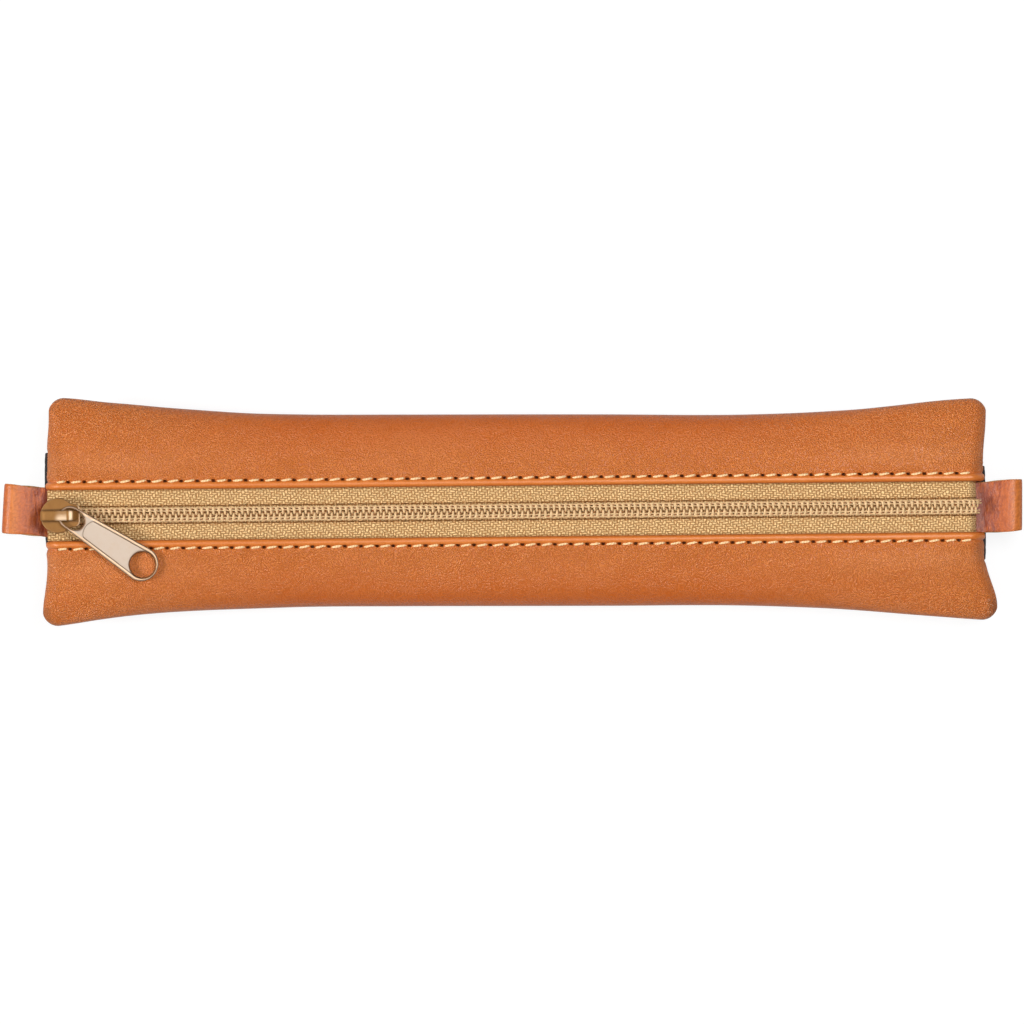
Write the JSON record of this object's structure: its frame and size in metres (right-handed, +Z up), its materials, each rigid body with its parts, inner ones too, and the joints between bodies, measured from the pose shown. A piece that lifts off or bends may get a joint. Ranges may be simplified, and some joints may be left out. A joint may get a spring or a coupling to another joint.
{
  "type": "flat pencil case",
  "caption": "Flat leather pencil case with a full-length coil zip, folded pull loops at both ends and an elastic band along its back.",
  "frame": {"origin": "on the rest surface, under the middle of the case", "axes": "+X along the zip from the closed slider to the other end, +Y across the zip towards the upper panel, +Z up out of the zipped face"},
  "size_m": [0.2266, 0.051, 0.0204],
  "materials": {
    "tan_leather": "grained, semi-matt",
    "loop_leather": "smooth, slightly waxed",
    "sand_tape": "woven herringbone",
    "sand_coil": "semi-gloss monofilament",
    "antique_metal": "satin antique plating",
    "black_elastic": "knitted elastic"
  },
  "bodies": {
    "case": {"leather_wrap": "tan_leather", "elastic_band": "black_elastic", "left_pull_loop": "loop_leather", "right_pull_loop": "loop_leather", "upper_tape_left_end": "sand_tape", "upper_tape_right_end": "sand_tape", "lower_tape_left_end": "sand_tape", "lower_tape_right_end": "sand_tape", "upper_coil_left_end": "sand_coil", "upper_coil_right_end": "sand_coil", "lower_coil_left_end": "sand_coil", "lower_coil_right_end": "sand_coil"},
    "upper_panel": {"upper_front_panel": "tan_leather", "upper_tape": "sand_tape", "upper_coil": "sand_coil"},
    "lower_panel": {"lower_front_panel": "tan_leather", "lower_tape": "sand_tape", "lower_coil": "sand_coil"},
    "slider": {"slider_body": "antique_metal", "slider_crown": "antique_metal"},
    "puller": {"puller": "antique_metal"}
  },
  "joints": [
    {"name": "zip_slide", "type": "slide", "parent": "case", "child": "slider", "axis": [1, 0, 0], "range_m": [0, 0.197]},
    {"name": "puller_flip", "type": "hinge", "parent": "slider", "child": "puller", "pos_m": [-0.10025, 0.0003, 0.0188], "axis": [-0.5143, -0.8576, 0], "range_deg": [0, 105]},
    {"name": "upper_panel_bend", "type": "hinge", "parent": "case", "child": "upper_panel", "pos_m": [0, 0.0228, 0.0114], "axis": [-1, 0, 0], "range_deg": [0, 30]},
    {"name": "lower_panel_bend", "type": "hinge", "parent": "case", "child": "lower_panel", "pos_m": [0, -0.0228, 0.0114], "axis": [1, 0, 0], "range_deg": [0, 30]}
  ]
}
